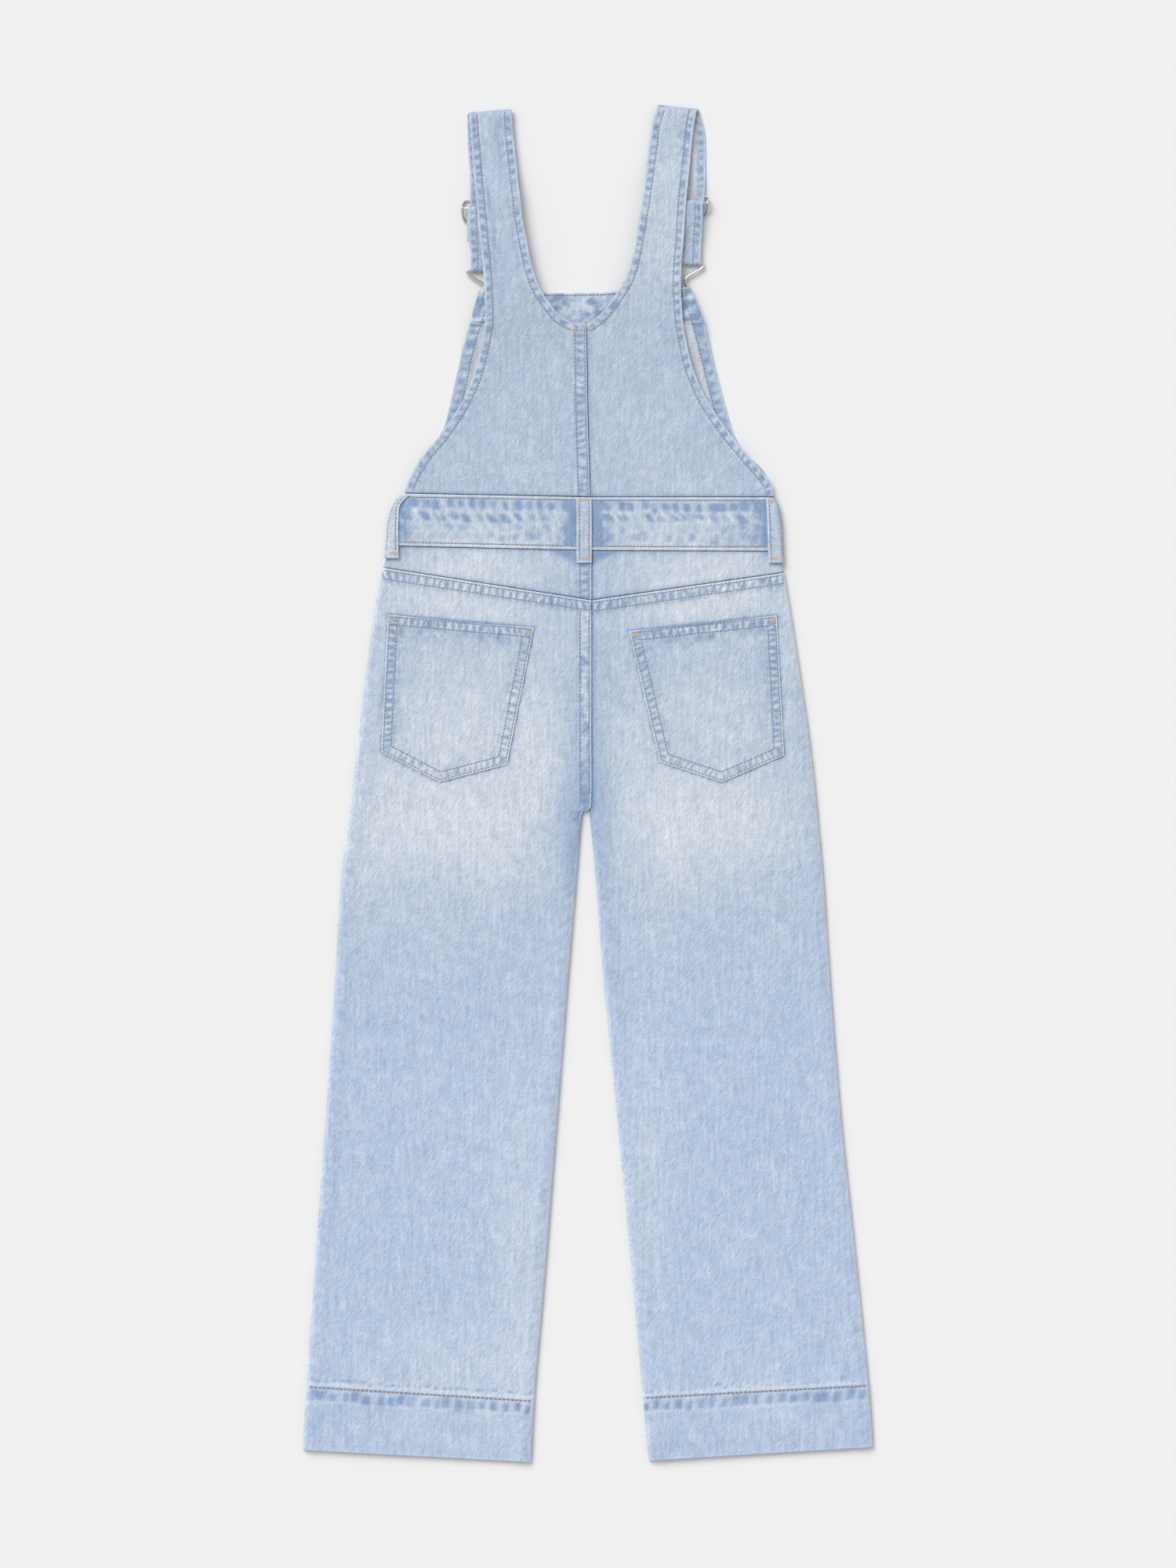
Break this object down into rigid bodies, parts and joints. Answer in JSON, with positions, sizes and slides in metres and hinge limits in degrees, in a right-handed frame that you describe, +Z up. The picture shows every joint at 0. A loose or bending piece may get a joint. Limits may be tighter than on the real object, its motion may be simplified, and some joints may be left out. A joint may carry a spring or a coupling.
{
  "type": "denim dungarees",
  "caption": "Light-wash denim dungarees lying flat on their front, with straps, sliders and clips, back pockets, waistband and straight legs.",
  "frame": {"origin": "on the surface the garment lies on, below the middle of its outline", "axes": "+Z up out of the cloth, +Y towards the shoulders, +X towards the wearer's right, which is the right of the picture"},
  "size_m": [0.4582, 1.0899, 0.011],
  "materials": {
    "denim": "light-wash blue cotton twill, worn pale on the seat and seams",
    "thread": "matt taupe sewing thread, with orange bar tacks",
    "steel": "satin nickel-plated steel"
  },
  "bodies": {
    "root": {"back_bib_left": "denim", "back_bib_right": "denim", "front_bib": "denim", "waistband_back": "denim", "waistband_front": "denim", "yoke_left": "denim", "yoke_right": "denim", "back_leg_left": "denim", "back_leg_right": "denim", "front_leg_left": "denim", "front_leg_right": "denim", "pocket_left": "denim", "pocket_right": "denim", "loop_centre": "denim", "loop_left": "denim", "loop_right": "denim", "slider_left": "steel", "slider_right": "steel", "clip_left": "steel", "clip_right": "steel", "button_left": "steel", "button_right": "steel"}
  },
  "joints": []
}
